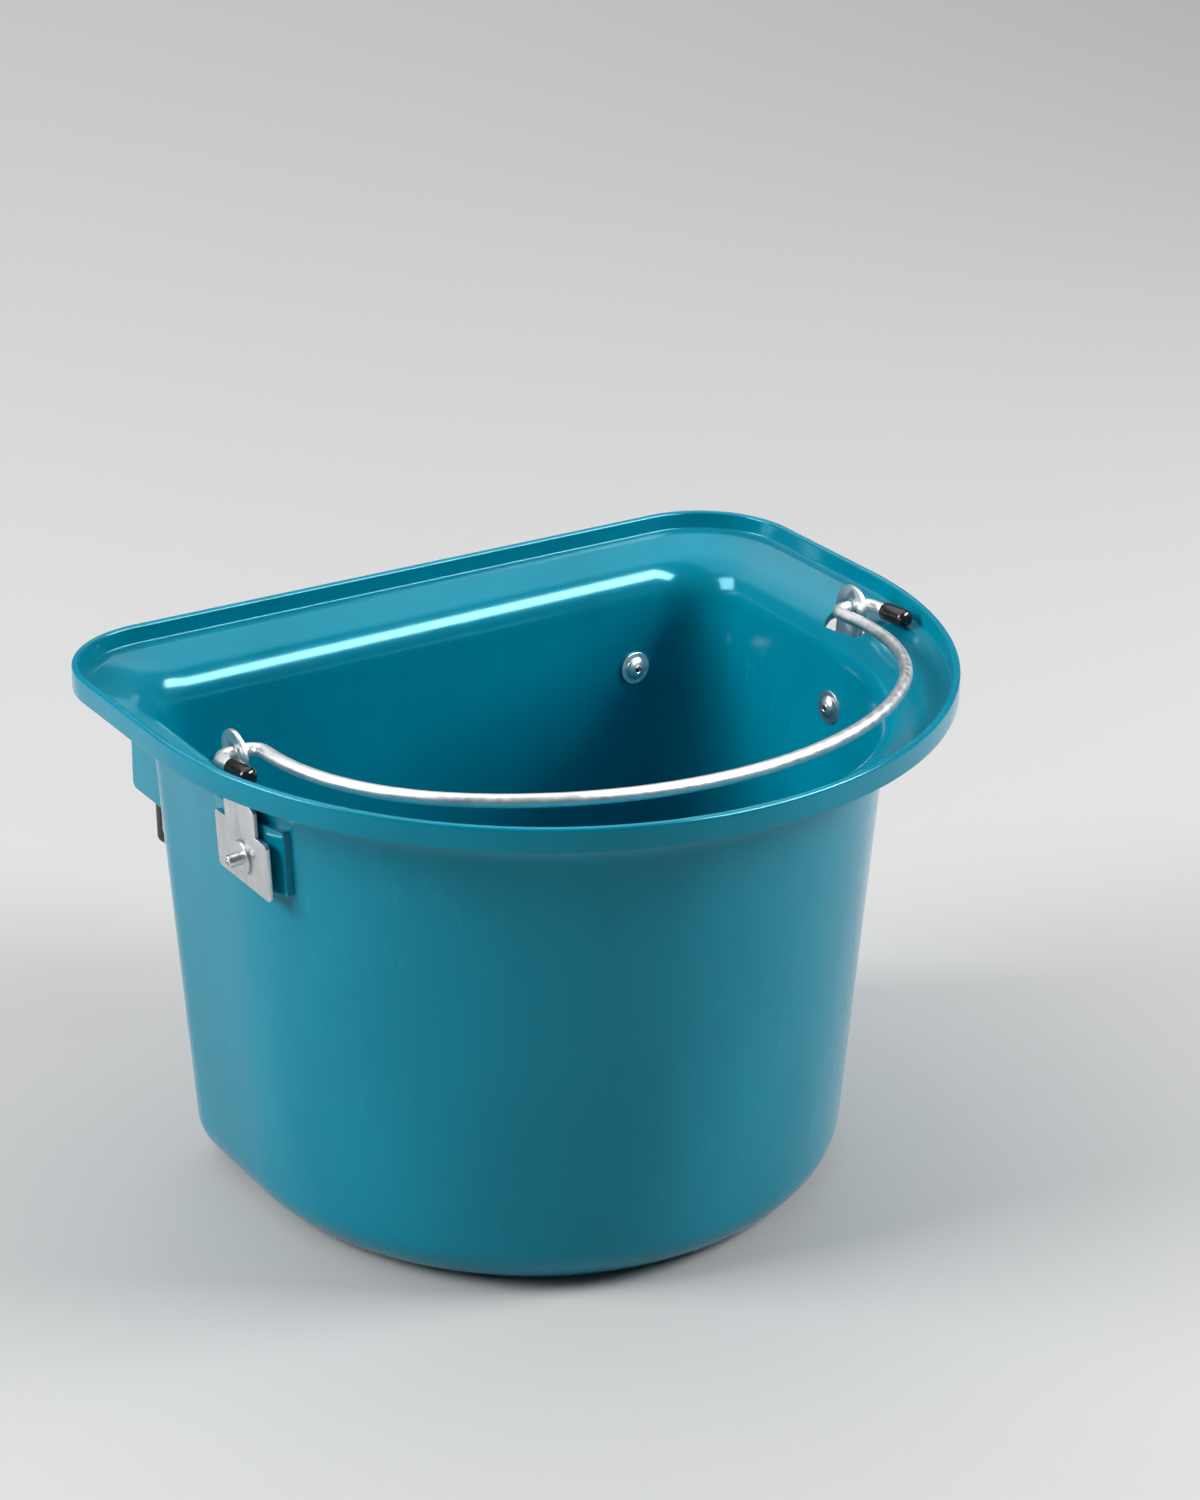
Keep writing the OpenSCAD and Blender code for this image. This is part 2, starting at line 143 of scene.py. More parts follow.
def arc(cx, cy, r, a0, a1, n):
    return [(cx + r * cos(radians(a0 + (a1 - a0) * i / n)),
             cy + r * sin(radians(a0 + (a1 - a0) * i / n))) for i in range(n + 1)]


def shape(node, name):
    # a merged copy of a CAD solid, to finish as a pressed sheet part
    obj = bpy.data.objects.new(name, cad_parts[node].data.copy())
    bpy.context.collection.objects.link(obj)
    activate(obj)
    bpy.ops.object.mode_set(mode="EDIT")
    bpy.ops.mesh.select_all(action="SELECT")
    bpy.ops.mesh.remove_doubles(threshold=0.005 * mm)
    bpy.ops.mesh.dissolve_limited(angle_limit=radians(0.6))
    toFaces()
    bpy.ops.object.mode_set(mode="OBJECT")
    obj.data.materials.clear()
    return obj


def dress(obj, material, slot, body, *nodes):
    obj.data.materials.clear()
    obj.data.materials.append(material)
    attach(obj, body)
    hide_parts(*nodes)
    return obj


def newNode(tree, kind, inputs=None, **settings):
    n = tree.nodes.new(kind)
    for key, value in settings.items():
        setattr(n, key, value)
    for key, value in (inputs or {}).items():
        if isinstance(value, bpy.types.NodeSocket):
            tree.links.new(value, n.inputs[key])
        else:
            n.inputs[key].default_value = value
    return n


def calc(tree, operation, a, b, clamp=False):
    return newNode(tree, "ShaderNodeMath", {0: a, 1: b}, operation=operation, use_clamp=clamp).outputs[0]


def plus(tree, a, b, clamp=False):
    return calc(tree, "ADD", a, b, clamp)


def times(tree, a, b, clamp=False):
    return calc(tree, "MULTIPLY", a, b, clamp)


def spread(tree, value, low, high, a=0.0, b=1.0):
    return newNode(tree, "ShaderNodeMapRange", {"Value": value, "From Min": low, "From Max": high,
                                                "To Min": a, "To Max": b}).outputs[0]


def mixed(tree, factor, a, b):
    n = newNode(tree, "ShaderNodeMix", data_type="RGBA")
    for socket, value in ((n.inputs[0], factor), (n.inputs[6], a), (n.inputs[7], b)):
        if isinstance(value, bpy.types.NodeSocket):
            tree.links.new(value, socket)
        else:
            socket.default_value = value
    return n.outputs[2]


def coords(tree, scale=(1, 1, 1), turn=(0, 0, 0)):
    source = newNode(tree, "ShaderNodeTexCoord").outputs["Object"]
    return newNode(tree, "ShaderNodeMapping", {"Vector": source, "Scale": scale, "Rotation": turn}).outputs[0]


def noise(tree, vector, scale, detail=3.0, roughness=0.5):
    return newNode(tree, "ShaderNodeTexNoise", {"Vector": vector, "Scale": scale, "Detail": detail,
                                                "Roughness": roughness}).outputs["Fac"]


def group(name, output, amount=None):
    # a shared effect with one output and, if it has a strength, the input Amount
    tree = bpy.data.node_groups.new(name, "ShaderNodeTree")
    if amount is not None:
        socket = tree.interface.new_socket(name="Amount", in_out="INPUT", socket_type="NodeSocketFloat")
        socket.default_value = amount
    tree.interface.new_socket(name=output, in_out="OUTPUT", socket_type="NodeSocketFloat")
    return tree, tree.nodes.new("NodeGroupInput"), tree.nodes.new("NodeGroupOutput")


def useGroup(tree, shared, amount=None):
    n = tree.nodes.new("ShaderNodeGroup")
    n.node_tree = shared
    if amount is not None:
        n.inputs["Amount"].default_value = amount
    return n.outputs[0]


def darker(colour, factor):
    return tuple(c * factor for c in colour[:3]) + (1,)


def settledDust():
    # more where a face looks up, broken up by two sizes of noise
    t, given, result = group("settledDust", "Mask", 0.3)
    normal = newNode(t, "ShaderNodeNewGeometry").outputs["Normal"]
    upward = spread(t, newNode(t, "ShaderNodeSeparateXYZ", {0: normal}).outputs["Z"], 0.1, 0.95)
    patches = spread(t, noise(t, coords(t), 26, 5), 0.35, 0.75)
    specks = spread(t, noise(t, coords(t), 900, 2), 0.52, 0.8)
    mask = times(t, upward, plus(t, times(t, patches, 0.6), times(t, specks, 0.5)))
    t.links.new(times(t, mask, given.outputs["Amount"], True), result.inputs["Mask"])
    return t


def fineScuffs():
    # two stretched noises that cross each other, kept only at their peaks
    t, given, result = group("fineScuffs", "Mask", 0.5)
    along = spread(t, noise(t, coords(t, (30, 420, 30), (0.3, 0.2, 0.5)), 1, 2), 0.64, 0.72)
    across = spread(t, noise(t, coords(t, (380, 26, 60), (0.1, 0.5, 0.9)), 1, 2), 0.66, 0.74)
    where = spread(t, noise(t, coords(t), 14, 2), 0.42, 0.62)
    mask = times(t, calc(t, "MAXIMUM", along, across), where)
    t.links.new(times(t, mask, given.outputs["Amount"], True), result.inputs["Mask"])
    return t


def edgeWear():
    # rubbed edges, from the curvature of the mesh
    t, given, result = group("edgeWear", "Mask", 0.5)
    edges = spread(t, newNode(t, "ShaderNodeNewGeometry").outputs["Pointiness"], 0.52, 0.6)
    mask = times(t, edges, spread(t, noise(t, coords(t), 240, 3), 0.3, 0.7))
    t.links.new(times(t, mask, given.outputs["Amount"], True), result.inputs["Mask"])
    return t


def fineGrain():
    t, given, result = group("fineGrain", "Height")
    coarse = times(t, noise(t, coords(t), 620, 2), 0.7)
    t.links.new(plus(t, coarse, times(t, noise(t, coords(t), 2300, 2), 0.3)), result.inputs["Height"])
    return t


dustTree = settledDust()
scuffTree = fineScuffs()
wearTree = edgeWear()
grainTree = fineGrain()


def newMaterial(name):
    m = bpy.data.materials.new(name)
    m.use_nodes = True
    return m, m.node_tree, m.node_tree.nodes["Principled BSDF"]


def bump(tree, height, strength, distance):
    return newNode(tree, "ShaderNodeBump", {"Height": height, "Strength": strength,
                                            "Distance": distance * mm}).outputs["Normal"]


def plasticMaterial():
    look = dict(deep=(0.0, 0.172, 0.255, 1), body=(0.0, 0.212, 0.31, 1), pale=(0.0, 0.24, 0.348, 1),
                dust=(0.20, 0.33, 0.37, 1), scuff=(0.03, 0.36, 0.47, 1), gloss=(0.13, 0.18),
                tint=(0.3, 0.85, 1, 1), wearAmount=0.3, scuffAmount=0.12, dustAmount=0.05)
    m, tree, bsdf = newMaterial("mouldedPlastic")
    flow = noise(tree, coords(tree, (1, 1, 0.35)), 16, 4, 0.55)
    cloud = spread(tree, noise(tree, coords(tree), 4.5, 3), 0.5, 0.85, 0, 0.35)
    wear = useGroup(tree, wearTree, look["wearAmount"])
    scuffs = useGroup(tree, scuffTree, look["scuffAmount"])
    dust = useGroup(tree, dustTree, look["dustAmount"])
    colour = mixed(tree, spread(tree, flow, 0.3, 0.75), look["deep"], look["body"])
    colour = mixed(tree, cloud, colour, look["pale"])
    colour = mixed(tree, wear, colour, look["pale"])
    colour = mixed(tree, scuffs, colour, look["scuff"])
    colour = mixed(tree, dust, colour, look["dust"])
    tree.links.new(colour, bsdf.inputs["Base Color"])
    gloss = spread(tree, noise(tree, coords(tree), 60, 4), 0.3, 0.7, *look["gloss"])
    marks = plus(tree, times(tree, scuffs, 0.3), times(tree, dust, 0.5))
    tree.links.new(plus(tree, gloss, marks, True), bsdf.inputs["Roughness"])
    wave = plus(tree, times(tree, useGroup(tree, grainTree), 0.3), noise(tree, coords(tree), 34, 2))
    tree.links.new(bump(tree, wave, 0.1, 0.3), bsdf.inputs["Normal"])
    bsdf.inputs["IOR"].default_value = 1.5
    bsdf.inputs["Specular Tint"].default_value = look["tint"]
    return m


def zincMaterial(name, bright, dark, rough, streak, spangle=0):
    # plated steel: streaks along the drawing direction, and on sheet a spangle of flat crystals
    look = dict(worn=(0.75, 0.76, 0.77, 1), dust=(0.42, 0.42, 0.4, 1), wearAmount=0.25, dustAmount=0.12,
                scuffAmount=0.7)
    m, tree, bsdf = newMaterial(name)
    height = lines = noise(tree, coords(tree, streak), 1, 4, 0.6)
    colour = mixed(tree, spread(tree, lines, 0.3, 0.7), dark, bright)
    if spangle:
        cells = newNode(tree, "ShaderNodeTexVoronoi", {"Vector": coords(tree), "Scale": spangle})
        tone = newNode(tree, "ShaderNodeSeparateColor", {0: cells.outputs["Color"]}).outputs[0]
        colour = mixed(tree, spread(tree, tone, 0, 1, 0, 0.3), colour, dark)
        height = plus(tree, times(tree, tone, 0.35), times(tree, lines, 0.65))
    stain = spread(tree, noise(tree, coords(tree), 120, 5), 0.58, 0.85, 0, 0.16)
    scuffs = useGroup(tree, scuffTree, look["scuffAmount"])
    colour = mixed(tree, stain, colour, darker(dark, 0.55))
    colour = mixed(tree, useGroup(tree, wearTree, look["wearAmount"]), colour, look["worn"])
    colour = mixed(tree, useGroup(tree, dustTree, look["dustAmount"]), colour, look["dust"])
    tree.links.new(colour, bsdf.inputs["Base Color"])
    satin = spread(tree, noise(tree, coords(tree), 300, 3), 0.3, 0.7, rough - 0.05, rough + 0.07)
    marks = plus(tree, times(tree, stain, 0.4), times(tree, scuffs, 0.06))
    tree.links.new(plus(tree, satin, marks, True), bsdf.inputs["Roughness"])
    tree.links.new(bump(tree, height, 0.12, 0.03), bsdf.inputs["Normal"])
    bsdf.inputs["Metallic"].default_value = 1.0
    return m


def blackMaterial(name, base, rough, peelScale, strength):
    # dipped or pulled-on vinyl with a faint peel
    look = dict(scuff=(0.07, 0.07, 0.07, 1), dust=(0.3, 0.29, 0.27, 1), scuffAmount=0.5, dustAmount=0.1)
    m, tree, bsdf = newMaterial(name)
    tone = spread(tree, noise(tree, coords(tree), 90, 4), 0.3, 0.7)
    scuffs = useGroup(tree, scuffTree, look["scuffAmount"])
    colour = mixed(tree, tone, base, darker(base, 1.7))
    colour = mixed(tree, scuffs, colour, look["scuff"])
    colour = mixed(tree, useGroup(tree, dustTree, look["dustAmount"]), colour, look["dust"])
    tree.links.new(colour, bsdf.inputs["Base Color"])
    satin = spread(tree, noise(tree, coords(tree), 200, 3), 0.3, 0.7, rough - 0.05, rough + 0.06)
    tree.links.new(plus(tree, satin, times(tree, scuffs, 0.3), True), bsdf.inputs["Roughness"])
    peel = plus(tree, noise(tree, coords(tree), peelScale, 2), times(tree, useGroup(tree, grainTree), 0.15))
    tree.links.new(bump(tree, peel, strength, 0.12), bsdf.inputs["Normal"])
    return m


plastic = plasticMaterial()
rodZinc = zincMaterial("zincRod", (0.74, 0.76, 0.77, 1), (0.66, 0.68, 0.7, 1), 0.4, (14, 120, 120))
sheetZinc = zincMaterial("zincSheet", (0.72, 0.74, 0.75, 1), (0.56, 0.58, 0.6, 1), 0.36, (200, 200, 90), 330)
washerZinc = zincMaterial("washerSteel", (0.72, 0.73, 0.74, 1), (0.56, 0.57, 0.59, 1), 0.33,
                          (700, 700, 300), 800)
alloy = zincMaterial("rivetAlloy", (0.8, 0.81, 0.82, 1), (0.66, 0.67, 0.69, 1), 0.3, (900, 300, 900))
pinSteel = zincMaterial("rivetPinSteel", (0.3, 0.29, 0.28, 1), (0.12, 0.11, 0.1, 1), 0.5,
                        (800, 800, 800), 1200)
capBlack = blackMaterial("blackCap", (0.0055, 0.0055, 0.006, 1), 0.19, 340, 0.3)
sleeveBlack = blackMaterial("blackSleeve", (0.009, 0.009, 0.0095, 1), 0.4, 700, 0.35)
print("materials ready")


bucket = dict(rimWidth=380, rimDepth=307, height=248, wall=3, rimCorner=48, wallCorner=31, baseRound=23,
              sideDraft=3.5, backDraft=3.1, band=11, lip=3.4, lipDrop=8.5, ledgeSide=30, ledgeBack=25.4,
              ledgeDrop=6, strip=5, bend=20, bendSweep=66, bandFoot=3.2, bandEdge=0.6, lipRound=1.4,
              wallSteps=(70, 120, 170), frontSteps=160, cornerSteps=16)
b = bucket
rimRadius = b["rimWidth"] / 2
arcY = rimRadius - b["rimDepth"] / 2
backY = b["rimDepth"] / 2
bandZ = b["height"] - b["band"]
creaseZ = b["height"] - b["lipDrop"]
bendZ = creaseZ - b["ledgeDrop"] - b["bend"] * sin(radians(b["bendSweep"]))


def sideIn(z):
    return b["ledgeSide"] + (bandZ - z) * tan(radians(b["sideDraft"]))


def backIn(z):
    return b["ledgeBack"] + (bandZ - z) * tan(radians(b["backDraft"]))


def rimRing(e, z):
    return rimRadius - e, backY - e, b["rimCorner"] - e, z


def wallRing(e, z):
    return rimRadius - sideIn(z) - e, backY - backIn(z) - e, b["wallCorner"] - e, z


def angles(first, last, steps):
    return [radians(first + (last - first) * i / steps) for i in range(steps + 1)]


def shellRings():
    # from the underside up the outside, over the lip and down the inside
    outer = b["bend"] - b["wall"]
    inner = b["baseRound"] - b["wall"]
    top, lr, lip, base = b["height"], b["lipRound"], b["lip"], b["baseRound"]
    edge, stripEnd = b["bandEdge"], b["lip"] + 0.3 + b["strip"]
    rings = [wallRing(base * (1 - cos(a)), base * (1 - sin(a))) for a in angles(90, 0, 14)]
    rings += [wallRing(0, z) for z in b["wallSteps"]]
    rings += [wallRing(-outer * (1 - cos(a)), bendZ + outer * sin(a)) for a in angles(0, b["bendSweep"], 12)]
    rings += [rimRing(b["bandFoot"], bandZ)]
    rings += [rimRing(edge * (1 - sin(a)), bandZ + edge * (1 - cos(a))) for a in angles(0, 90, 4)]
    rings += [rimRing(lr * (1 - cos(a)), top - lr * (1 - sin(a))) for a in angles(0, 90, 6)]
    rings += [rimRing(lip - lr * (1 - cos(a)), top - lr * (1 - sin(a))) for a in angles(90, 0, 6)]
    # small fillet at the foot of the lip, then the strip and its soft edge
    rings += [rimRing(lip + 0.26, creaseZ + 1.1), rimRing(lip + 0.4, creaseZ + 0.55),
              rimRing(lip + 0.75, creaseZ + 0.16), rimRing(lip + 1.3, creaseZ - 0.04)]
    rings += [rimRing(stripEnd - 0.7, creaseZ - 0.52), rimRing(stripEnd, creaseZ - 0.64),
              rimRing(stripEnd + 0.8, creaseZ - 0.94)]
    rings += [wallRing(b["wall"] - b["bend"] * (1 - cos(a)), bendZ + b["bend"] * sin(a))
              for a in angles(b["bendSweep"], 0, 12)]
    rings += [wallRing(b["wall"], z) for z in reversed(b["wallSteps"])]
    rings += [wallRing(b["wall"] + inner * (1 - cos(a)), b["wall"] + inner * (1 - sin(a)))
              for a in angles(0, 90, 14)]
    return rings


def chosen(bm, indices):
    # leaves only these vertices selected
    for v in bm.verts:
        v.select = False
    for i in indices:
        bm.verts[i].select = True
    bm.select_flush_mode()


def firstRing(r, back, c, z):
    # half circle at the front, straight sides and two round rear corners, closed across the back
    bpy.ops.mesh.primitive_circle_add(vertices=2 * b["frontSteps"], radius=r * mm, fill_type="NOTHING",
                                      location=(0, arcY * mm, z * mm))
    obj = named("bucketShell")
    bpy.ops.object.transform_apply(location=True, rotation=True, scale=True)
    bpy.ops.object.mode_set(mode="EDIT")
    pick(lambda p: p.y > (arcY + 0.01) * mm)
    bpy.ops.mesh.delete(type="VERT")
    for side in (1, -1):
        pick(lambda p: abs(p.x - side * r * mm) < 0.01 * mm and abs(p.y - arcY * mm) < 0.01 * mm)
        bpy.ops.mesh.extrude_region_move(TRANSFORM_OT_translate={"value": (0, (back - c - arcY) * mm, 0)})
        bpy.ops.mesh.spin(steps=b["cornerSteps"], angle=radians(90),
                          center=(side * (r - c) * mm, (back - c) * mm, z * mm), axis=(0, 0, -side))
    pick(lambda p: abs(p.y - back * mm) < 0.02 * mm and abs(abs(p.x) - (r - c) * mm) < 0.02 * mm)
    bpy.ops.mesh.edge_face_add()
    bpy.ops.mesh.select_all(action="SELECT")
    return obj


def shellSolid():
    rings = shellRings()
    r, back, c, z = rings[0]
    obj = firstRing(r, back, c, z)
    mesh = obj.data
    bm = bmesh.from_edit_mesh(mesh)
    for nr, nback, nc, nz in rings[1:]:
        bpy.ops.mesh.extrude_region_move(TRANSFORM_OT_translate={"value": (0, 0, (nz - z) * mm)})
        bm = bmesh.from_edit_mesh(mesh)
        bm.verts.ensure_lookup_table()
        new = [v.index for v in bm.verts if v.select]
        front = [i for i in new if bm.verts[i].co.y < (arcY + 0.01) * mm]
        right = [i for i in new if i not in set(front) and bm.verts[i].co.x > 0]
        left = [i for i in new if i not in set(front) and bm.verts[i].co.x < 0]
        chosen(bm, front)
        bpy.ops.transform.resize(value=(nr / r, nr / r, 1), center_override=(0, arcY * mm, nz * mm))
        for group, side in ((right, 1), (left, -1)):
            bm.verts.ensure_lookup_table()
            chosen(bm, group)
            bpy.ops.transform.resize(value=(nc / c, nc / c, 1),
                                     center_override=(side * r * mm, back * mm, nz * mm))
            bpy.ops.transform.translate(value=(side * (nr - r) * mm, (nback - back) * mm, 0))
        bm.verts.ensure_lookup_table()
        chosen(bm, new)
        r, back, c, z = nr, nback, nc, nz
    bpy.ops.mesh.edge_face_add()
    pick(lambda p: p.z < 0.001 * mm)
    bpy.ops.mesh.edge_face_add()
    toFaces()
    bpy.ops.object.mode_set(mode="OBJECT")
    print("shell skin:", len(rings), "rings,", len(mesh.polygons), "faces")
    return obj


shell = shellSolid()

ear = dict(y=16, hingeBelowRim=6.2, rivetDrop=55.5, sheet=2, padProud=1.2, padBottom=-10.5, padTop=20,
           padHalf=26, padEdge=0.7, slotBack=4.3, slotBottom=27, slotWidth=7, slotLength=28.5, slotRound=2.5,
           slotInset=0.7, seat=17)
hook = dict(x=113, rivetDrop=65, sheet=3, padProud=1.2, padEdge=0.5, plateHalf=30, plateUp=32, leg=98,
            gap=44, sleeve=15, strap=12, topOverBend=11)
rib = dict(thick=2.5, below=13, fromRim=4, round=3)
drill = dict(radius=3, length=14, sides=48)
hingeZ = b["height"] - ear["hingeBelowRim"]
earRivetZ = b["height"] - ear["rivetDrop"]
hookRivetZ = b["height"] - hook["rivetDrop"]
earRadius = rimRadius - sideIn(earRivetZ)
earFront = arcY - ear["y"]
earX = sqrt(earRadius ** 2 - earFront ** 2)
earPad = earRadius + ear["padProud"] - earX


def onEar(side):
    # frame of an ear: X out of the side wall at the rivet, Z up the wall
    return (Matrix.Diagonal((side, 1, 1, 1)) @ Matrix.Translation((earX * mm, ear["y"] * mm, earRivetZ * mm))
            @ Matrix.Rotation(radians(b["sideDraft"]), 4, "Y"))


def onHook(side):
    # frame of a hook: Y out of the back wall at the rivet, Z up the wall
    return (Matrix.Diagonal((side, 1, 1, 1))
            @ Matrix.Translation((hook["x"] * mm, (backY - backIn(hookRivetZ)) * mm, hookRivetZ * mm))
            @ Matrix.Rotation(radians(-b["backDraft"]), 4, "X"))


alongY = Matrix.Rotation(radians(90), 4, "Z")


def bevelled(obj, width, segments=3, angle=40):
    applyModifier(obj, "BEVEL", width=width * mm, segments=segments, limit_method="ANGLE",
                  angle_limit=radians(angle))
    return obj


def earPadBlock(side):
    e = ear
    block = box("earPad", (-20, -e["padHalf"], e["padBottom"]), (earPad, e["padHalf"], e["padTop"]))
    pad = bevelled(block, e["padEdge"])
    tall = e["padTop"] - e["padBottom"] + 20
    mid = (e["padTop"] + e["padBottom"]) / 2
    cut(pad, rod("trim", earRadius + 3, tall, (-earX, earFront, mid), vertices=256), "INTERSECT")
    cut(pad, rod("core", earRadius - b["wall"] / 2, tall, (-earX, earFront, mid), vertices=256))
    cut(pad, box("coreBack", (-40, earFront, -60), (earRadius - earX - b["wall"] / 2, 60, 60)))
    return placed(pad, onEar(side))


def hookPadBlock(side):
    h = hook
    half, up = h["plateHalf"] + 1, h["plateUp"] + 1
    cornerX = rimRadius - sideIn(hookRivetZ) - b["wallCorner"] - h["x"]
    pad = bevelled(box("hookPad", (-half, -12, -up), (half, h["padProud"], up)), h["padEdge"])
    cut(pad, box("core", (-half - 30, -40, -60), (cornerX, -b["wall"] / 2, 60)))
    cut(pad, rod("coreCorner", b["wallCorner"] - b["wall"] / 2, 120, (cornerX, -b["wallCorner"], 0),
                 vertices=192))
    return placed(pad, onHook(side))


def wallBack(x, e, z):
    # how far back the wall reaches at x on the ring offset by e
    r = rimRadius - sideIn(z) - e
    c = b["wallCorner"] - e
    return backY - backIn(z) - e - c + sqrt(c * c - max(x - r + c, 0) ** 2)


def spacerRib(side):
    # outline drawn by extruding one vertex in a plane of constant X, filled and thickened
    thick, midRadius = rib["thick"], b["bend"] - b["wall"] / 2
    x = hook["x"] + hook["plateHalf"] + 1 + thick / 2
    low, back, corner = hookRivetZ - rib["below"], backY - rib["fromRim"], rib["round"]
    points = [(wallBack(x, b["wall"] / 2, low), low)]
    for a in angles(0, b["bendSweep"], 8):
        z = bendZ + midRadius * sin(a)
        points.append((wallBack(x, b["wall"] / 2 - midRadius * (1 - cos(a)), z), z))
    points += [(back, bandZ + 0.6)] + arc(back - corner, low + corner, corner, 0, -90, 6)
    bpy.ops.mesh.primitive_plane_add(size=mm, location=(0, 0, 0))
    obj = named("spacerRib")
    bpy.ops.object.mode_set(mode="EDIT")
    bpy.ops.mesh.select_mode(type="VERT")
    bpy.ops.mesh.merge(type="CENTER")
    at = Vector((side * x - thick / 2, points[0][0], points[0][1])) * mm
    bpy.ops.transform.translate(value=at)
    for y, z in points[1:]:
        goal = Vector((side * x - thick / 2, y, z)) * mm
        bpy.ops.mesh.extrude_region_move(TRANSFORM_OT_translate={"value": goal - at})
        at = goal
    bpy.ops.mesh.select_all(action="SELECT")
    bpy.ops.mesh.edge_face_add()
    bpy.ops.mesh.extrude_region_move(TRANSFORM_OT_translate={"value": (thick * mm, 0, 0)})
    toFaces()
    bpy.ops.object.mode_set(mode="OBJECT")
    return obj


def slotTool(side):
    e = ear
    x, y, z, half = earPad - e["slotInset"], e["slotBack"], e["slotBottom"], e["slotLength"] / 2
    tool = box("slotTool", (x, y - half, z), (x + e["slotWidth"], y + half, z + 40))
    activate(tool)
    bpy.ops.object.mode_set(mode="EDIT")
    bpy.ops.mesh.select_mode(type="EDGE")
    bm = bmesh.from_edit_mesh(tool.data)
    for edge in bm.edges:
        p, q = (v.co for v in edge.verts)
        edge.select_set(abs(p.z - q.z) > 1 * mm)
    bmesh.update_edit_mesh(tool.data)
    bpy.ops.mesh.bevel(offset=e["slotRound"] * mm, segments=6, affect="EDGES")
    bpy.ops.object.mode_set(mode="OBJECT")
    return placed(tool, onEar(side))


turnX = (0, radians(90), 0)


def holeTool():
    return rod("holeTool", drill["radius"], drill["length"], (-1, 0, 0), turnX, drill["sides"])


for side in (-1, 1):
    cut(shell, earPadBlock(side), "UNION")
    cut(shell, hookPadBlock(side), "UNION")
    cut(shell, spacerRib(side), "UNION")
for side in (-1, 1):
    cut(shell, slotTool(side))
    cut(shell, placed(rod("seatTool", ear["seat"] / 2, 6, (-b["wall"] - 3, 0, 0), turnX), onEar(side)))
    cut(shell, placed(holeTool(), onEar(side)))
    cut(shell, placed(holeTool(), onHook(side) @ alongY))
smooth(shell, 32)
dress(shell, plastic, "moulded_plastic", "bucket", "bucket_shell")
print("bucket shell:", len(shell.data.polygons), "faces")


bail = dict(rod=6, reach=144, rise=3.5, bend=6.5, arm=152, crown=170, shoulder=115, turnOut=165, tip=29,
            sides=32, capWidth=8.6, capLength=17, capEnd=2)
crownAngle = asin((bail["arm"] - bail["shoulder"]) / (bail["crown"] - bail["shoulder"]))
crownY = bail["crown"] - bail["reach"]
shoulderX = bail["arm"] - bail["shoulder"]
shoulderY = crownY - (bail["crown"] - bail["shoulder"]) * cos(crownAngle)
tipX = bail["turnOut"] + bail["bend"]
bailPlane = (Matrix.Translation((0, ear["y"] * mm, hingeZ * mm))
             @ Matrix.Rotation(radians(-bail["rise"]), 4, "X"))


def bentRod():
    # one half from the crown outwards: arcs by spin, straights by extrude, then mirrored
    t = bail
    bpy.ops.mesh.primitive_circle_add(vertices=t["sides"], radius=t["rod"] / 2 * mm, fill_type="NOTHING",
                                      location=(0, (crownY - t["crown"]) * mm, 0),
                                      rotation=(0, radians(90), 0))
    obj = named("bailHandle")
    bpy.ops.object.transform_apply(location=True, rotation=True, scale=True)
    bpy.ops.object.mode_set(mode="EDIT")
    bpy.ops.mesh.select_all(action="SELECT")

    def sweep(cx, cy, angle, steps):
        bpy.ops.mesh.spin(steps=steps, angle=radians(abs(angle)), center=(cx * mm, cy * mm, 0),
                          axis=(0, 0, 1 if angle < 0 else -1))

    def run(x, y):
        bpy.ops.mesh.extrude_region_move(TRANSFORM_OT_translate={"value": (x * mm, y * mm, 0)})

    crownTurn = crownAngle * 180 / pi
    sweep(0, crownY, crownTurn, 22)
    sweep(shoulderX, shoulderY, 90 - crownTurn, 34)
    run(0, -t["bend"] - shoulderY)
    sweep(t["arm"] + t["bend"], -t["bend"], -90, 12)
    run(t["turnOut"] - t["arm"] - t["bend"], 0)
    sweep(t["turnOut"], -t["bend"], -90, 12)
    run(0, t["bend"] - t["tip"] + 0.4)
    run(0, -0.4)
    bpy.ops.transform.resize(value=(0.9, 1, 0.9))
    bpy.ops.mesh.edge_face_add()
    bpy.ops.object.mode_set(mode="OBJECT")
    applyModifier(obj, "MIRROR", use_axis=(True, False, False), use_mirror_merge=True,
                  merge_threshold=0.02 * mm)
    return placed(obj, bailPlane)


def capPart(side):
    # dipped cap: rounded closed end, soft rolled mouth and a deep bore for the rod
    w, length, bore = bail["capWidth"] / 2, bail["capLength"], bail["rod"] / 2 + 0.03
    outline = [(length - bail["capEnd"], 0), (length - bail["capEnd"], bore), (0.5, bore)]
    outline += arc(0.45, bore + 0.45, 0.45, 270, 180, 4)[1:] + arc(0.7, w - 0.9, 0.7, 180, 90, 5)
    outline += [(2.5, w - 0.08), (5, w)] + arc(length - 3.2, w - 3.2, 3.2, 90, 0, 9) + [(length, 0)]
    cap = turnedPart("leftEndCap" if side < 0 else "rightEndCap", outline)
    toFront = Matrix.Rotation(radians(-90), 4, "Z")
    seat = Matrix.Translation((tipX * mm, (bail["capLength"] - bail["tip"] - bail["capEnd"]) * mm, 0))
    return placed(cap, Matrix.Diagonal((side, 1, 1, 1)) @ bailPlane @ seat @ toFront)


handle = smooth(bentRod(), 40)
dress(handle, rodZinc, "zinc_rod", "handle", "bail_handle")
for side, name in ((-1, "left"), (1, "right")):
    dress(smooth(capPart(side), 50), capBlack, "black_cap", "handle", name + "_end_cap")
print("bail and caps ready")

